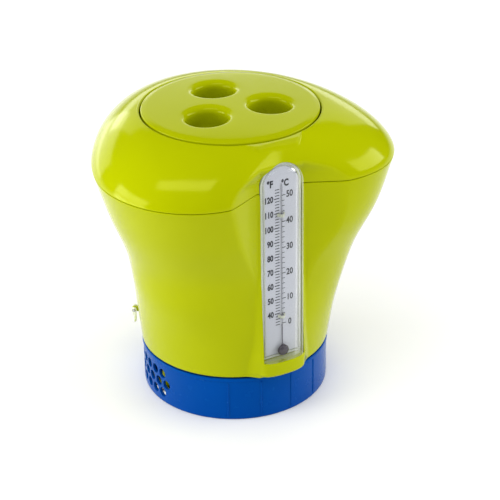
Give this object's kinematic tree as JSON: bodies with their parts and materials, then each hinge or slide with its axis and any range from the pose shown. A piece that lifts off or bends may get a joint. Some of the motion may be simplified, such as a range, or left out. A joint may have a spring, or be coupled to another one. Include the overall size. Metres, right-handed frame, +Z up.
{
  "type": "floating chlorine dispenser",
  "caption": "Floating pool chlorine dispenser: hollow lobed float, twist-off lid with finger wells, vented dosing ring that turns, tablet tube and front thermometer.",
  "frame": {"origin": "centre of the underside, on the axis of the dosing ring, tablet tube and lid, at the surface that the dispenser stands on", "axes": "+Z up along the ring's axis; the thermometer faces -Y; +X is to the right when looking at the thermometer"},
  "size_m": [0.1879, 0.1745, 0.191],
  "materials": {
    "lime_plastic": "glossy moulded plastic",
    "blue_plastic": "glossy moulded plastic",
    "white_plastic": "satin",
    "scale_white": "satin, with a printed scale",
    "clear_plastic": "clear moulded plastic",
    "capillary_glass": "clear",
    "dark_spirit": "dark liquid",
    "black_rubber": "matte",
    "screw_steel": "stainless",
    "ballast_iron": "coated"
  },
  "bodies": {
    "float_body": {"lower_shell": "lime_plastic", "upper_shell": "lime_plastic", "seam_gasket": "black_rubber", "lid_collar": "lime_plastic", "tablet_tube": "lime_plastic", "tube_seal_upper": "black_rubber", "tube_seal_lower": "black_rubber", "ballast_ring": "ballast_iron", "tablet_grille": "blue_plastic", "grille_screw_1": "screw_steel", "grille_screw_2": "screw_steel", "grille_screw_3": "screw_steel", "ring_retainer": "white_plastic", "thermometer_cover": "clear_plastic", "thermometer_tray": "white_plastic", "tray_gasket": "black_rubber", "scale_plate": "scale_white", "capillary_tube": "capillary_glass", "thermometer_bulb": "dark_spirit", "capillary_clip_lower": "white_plastic", "capillary_clip_upper": "white_plastic", "eyelet_pin": "screw_steel"},
    "dosing_ring": {"dosing_ring": "blue_plastic"},
    "lid_seal": {"lid_seal": "black_rubber"},
    "lid": {"lid": "lime_plastic"},
    "fluid": {"capillary_fluid": "dark_spirit"},
    "eyelet": {"tether_eyelet": "clear_plastic"}
  },
  "joints": [
    {"name": "ring_turn", "type": "hinge", "parent": "float_body", "child": "dosing_ring", "pos_m": [0, 0, 0.015], "axis": [0, 0, 1], "range_deg": [0, 90]},
    {"name": "lid_lift", "type": "slide", "parent": "float_body", "child": "lid_seal", "axis": [0, 0, 1], "range_m": [0, 0.08]},
    {"name": "lid_turn", "type": "hinge", "parent": "lid_seal", "child": "lid", "pos_m": [0, 0, 0.186], "axis": [0, 0, 1], "range_deg": [-30, 0]},
    {"name": "fluid_rise", "type": "slide", "parent": "float_body", "child": "fluid", "axis": [0, 0, 1], "range_m": [0, 0.09], "deforming": ["capillary_fluid"]},
    {"name": "eyelet_swing", "type": "hinge", "parent": "float_body", "child": "eyelet", "pos_m": [-0.05595, 0.0323, 0.0465], "axis": [0.5, 0.866, 0], "range_deg": [0, 120]}
  ]
}
